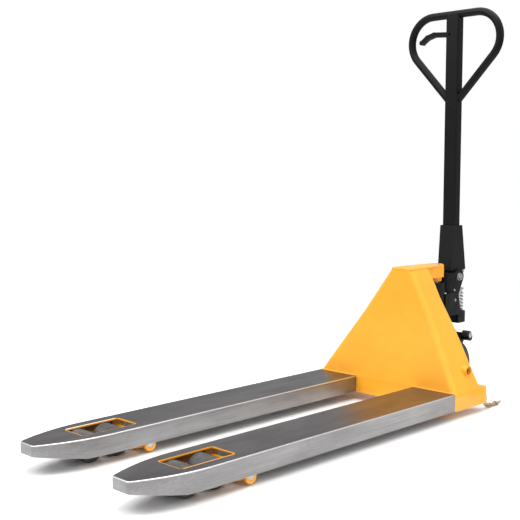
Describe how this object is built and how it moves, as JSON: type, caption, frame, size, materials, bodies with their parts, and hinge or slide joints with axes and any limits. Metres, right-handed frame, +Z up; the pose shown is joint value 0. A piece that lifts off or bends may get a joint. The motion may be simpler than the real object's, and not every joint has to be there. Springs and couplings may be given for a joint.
{
  "type": "pallet jack",
  "caption": "Hand pallet truck: tapered forks with tandem load rollers, folded sloping frame, turning hydraulic pump with steering wheels, and a tilting loop handle.",
  "frame": {"origin": "on the floor, under the middle of the whole truck's box", "axes": "+Y from the fork tips towards the handle, +X to the right seen from the fork tips with the handle behind, +Z up"},
  "size_m": [0.52, 1.5724, 1.241],
  "materials": {
    "fork_steel": "satin",
    "yellow_paint": "gloss",
    "black_paint": "satin",
    "black_casting": "satin",
    "bright_steel": "satin",
    "dark_steel": "satin",
    "roller_nylon": "matte",
    "wheel_tyre": "matte",
    "wheel_core": "satin",
    "chain_brass": "satin"
  },
  "bodies": {
    "frame": {"fork_left": "fork_steel", "fork_right": "fork_steel", "frame_shell": "yellow_paint", "base_ends": "yellow_paint", "cross_member": "yellow_paint", "head_bracket": "yellow_paint", "pivot_bosses": "yellow_paint", "lift_ram": "bright_steel", "bracket_hangers": "yellow_paint", "bracket_pins": "bright_steel", "chain_eye": "yellow_paint", "drag_chain": "chain_brass"},
    "rocker": {"rocker_beam": "yellow_paint", "rocker_shaft": "dark_steel", "rear_rod_pins": "bright_steel"},
    "cradle": {"trunnion_ring": "dark_steel", "trunnion_pins": "bright_steel"},
    "pump": {"pump_foot": "black_casting", "pump_casting": "black_casting", "thrust_washer": "bright_steel", "retaining_ring": "dark_steel", "pump_barrel": "bright_steel", "valve_parts": "bright_steel", "pivot_bolt": "bright_steel", "steer_axle": "bright_steel", "axle_caps": "dark_steel"},
    "plunger": {"plunger": "bright_steel", "plunger_spring": "bright_steel"},
    "release_lever": {"release_lever": "dark_steel"},
    "foot_pedal": {"foot_pedal": "black_casting"},
    "handle": {"handle_socket": "black_casting", "handle_tube": "black_paint", "handle_loop": "black_paint", "pressure_roller": "bright_steel"},
    "control_lever": {"control_lever": "black_paint"},
    "control_rod": {"control_rod": "bright_steel"},
    "rod_left": {"push_rod_left": "dark_steel", "rod_ends_left": "dark_steel", "lock_nuts_left": "bright_steel"},
    "bracket_left": {"roller_bracket_left": "yellow_paint", "front_rod_pin_left": "bright_steel", "bogie_pins_left": "bright_steel"},
    "bogie_left": {"bogie_plates_left": "yellow_paint", "roller_axles_left": "bright_steel"},
    "load_roller_left_front": {"load_roller_left_front": "roller_nylon"},
    "load_roller_left_rear": {"load_roller_left_rear": "roller_nylon"},
    "rod_right": {"push_rod_right": "dark_steel", "rod_ends_right": "dark_steel", "lock_nuts_right": "bright_steel"},
    "bracket_right": {"roller_bracket_right": "yellow_paint", "front_rod_pin_right": "bright_steel", "bogie_pins_right": "bright_steel"},
    "bogie_right": {"bogie_plates_right": "yellow_paint", "roller_axles_right": "bright_steel"},
    "load_roller_right_front": {"load_roller_right_front": "roller_nylon"},
    "load_roller_right_rear": {"load_roller_right_rear": "roller_nylon"},
    "wheel_left": {"wheel_hub_left": "wheel_core", "wheel_tyre_left": "wheel_tyre"},
    "wheel_right": {"wheel_hub_right": "wheel_core", "wheel_tyre_right": "wheel_tyre"}
  },
  "joints": [
    {"name": "lift", "type": "slide", "parent": "frame", "child": "cradle", "axis": [0, 0, -1], "range_m": [0, 0.11]},
    {"name": "rocker_turn", "type": "hinge", "parent": "frame", "child": "rocker", "pos_m": [0, 0.46575, 0.127], "axis": [-1, 0, 0], "range_deg": [0, 36.79]},
    {"name": "rod_level_left", "type": "hinge", "parent": "rocker", "child": "rod_left", "pos_m": [-0.185, 0.48337, 0.074], "axis": [1, 0, 0], "range_deg": [0, 36.79]},
    {"name": "bracket_turn_left", "type": "hinge", "parent": "frame", "child": "bracket_left", "pos_m": [-0.185, -0.46425, 0.022], "axis": [1, 0, 0], "range_deg": [0, 62.44]},
    {"name": "bogie_level_left", "type": "hinge", "parent": "bracket_left", "child": "bogie_left", "pos_m": [-0.185, -0.57925, 0.037], "axis": [-1, 0, 0], "range_deg": [0, 62.44]},
    {"name": "roller_spin_left_front", "type": "hinge", "parent": "bogie_left", "child": "load_roller_left_front", "pos_m": [-0.185, -0.62025, 0.037], "axis": [1, 0, 0], "continuous": true},
    {"name": "roller_spin_left_rear", "type": "hinge", "parent": "bogie_left", "child": "load_roller_left_rear", "pos_m": [-0.185, -0.53825, 0.037], "axis": [1, 0, 0], "continuous": true},
    {"name": "rod_level_right", "type": "hinge", "parent": "rocker", "child": "rod_right", "pos_m": [0.185, 0.48337, 0.074], "axis": [1, 0, 0], "range_deg": [0, 36.79]},
    {"name": "bracket_turn_right", "type": "hinge", "parent": "frame", "child": "bracket_right", "pos_m": [0.185, -0.46425, 0.022], "axis": [1, 0, 0], "range_deg": [0, 62.44]},
    {"name": "bogie_level_right", "type": "hinge", "parent": "bracket_right", "child": "bogie_right", "pos_m": [0.185, -0.57925, 0.037], "axis": [-1, 0, 0], "range_deg": [0, 62.44]},
    {"name": "roller_spin_right_front", "type": "hinge", "parent": "bogie_right", "child": "load_roller_right_front", "pos_m": [0.185, -0.62025, 0.037], "axis": [1, 0, 0], "continuous": true},
    {"name": "roller_spin_right_rear", "type": "hinge", "parent": "bogie_right", "child": "load_roller_right_rear", "pos_m": [0.185, -0.53825, 0.037], "axis": [1, 0, 0], "continuous": true},
    {"name": "steer", "type": "hinge", "parent": "cradle", "child": "pump", "pos_m": [0, 0.62875, 0.2], "axis": [0, 0, 1], "range_deg": [-95, 95]},
    {"name": "wheel_spin_left", "type": "hinge", "parent": "pump", "child": "wheel_left", "pos_m": [-0.0555, 0.62875, 0.09], "axis": [1, 0, 0], "continuous": true},
    {"name": "wheel_spin_right", "type": "hinge", "parent": "pump", "child": "wheel_right", "pos_m": [0.0555, 0.62875, 0.09], "axis": [1, 0, 0], "continuous": true},
    {"name": "handle_tilt", "type": "hinge", "parent": "pump", "child": "handle", "pos_m": [0, 0.71575, 0.376], "axis": [-1, 0, 0], "range_deg": [0, 60], "stiffness_Nm_per_rad": 8, "springref_deg": -20.05},
    {"name": "plunger_stroke", "type": "slide", "parent": "pump", "child": "plunger", "axis": [0, 0, -1], "range_m": [0, 0.04045], "deforming": ["plunger_spring"]},
    {"name": "lever_squeeze", "type": "hinge", "parent": "handle", "child": "control_lever", "pos_m": [-0.01, 0.71575, 1.165], "axis": [0, -1, 0], "range_deg": [-10, 10], "stiffness_Nm_per_rad": 1.5},
    {"name": "rod_pull", "type": "slide", "parent": "handle", "child": "control_rod", "axis": [0, 0, 1], "range_m": [-0.0026, 0.0026]},
    {"name": "release_turn", "type": "hinge", "parent": "pump", "child": "release_lever", "pos_m": [0, 0.69575, 0.3], "axis": [1, 0, 0], "range_deg": [-5.1, 5.1]},
    {"name": "pedal_press", "type": "hinge", "parent": "pump", "child": "foot_pedal", "pos_m": [0, 0.68175, 0.128], "axis": [-1, 0, 0], "range_deg": [0, 10], "stiffness_Nm_per_rad": 3, "springref_deg": -22.92}
  ],
  "couplings": [
    {"joint": "rocker_turn", "follows": "lift", "rad_per_m": 5.8357},
    {"joint": "rod_level_left", "follows": "lift", "rad_per_m": 5.8357},
    {"joint": "bracket_turn_left", "follows": "lift", "rad_per_m": 9.9057},
    {"joint": "bogie_level_left", "follows": "lift", "rad_per_m": 9.9057},
    {"joint": "rod_level_right", "follows": "lift", "rad_per_m": 5.8357},
    {"joint": "bracket_turn_right", "follows": "lift", "rad_per_m": 9.9057},
    {"joint": "bogie_level_right", "follows": "lift", "rad_per_m": 9.9057},
    {"joint": "plunger_stroke", "follows": "handle_tilt", "m_per_rad": 0.038529},
    {"joint": "rod_pull", "follows": "lever_squeeze", "m_per_rad": 0.014},
    {"joint": "release_turn", "follows": "lever_squeeze", "ratio": 0.5}
  ]
}
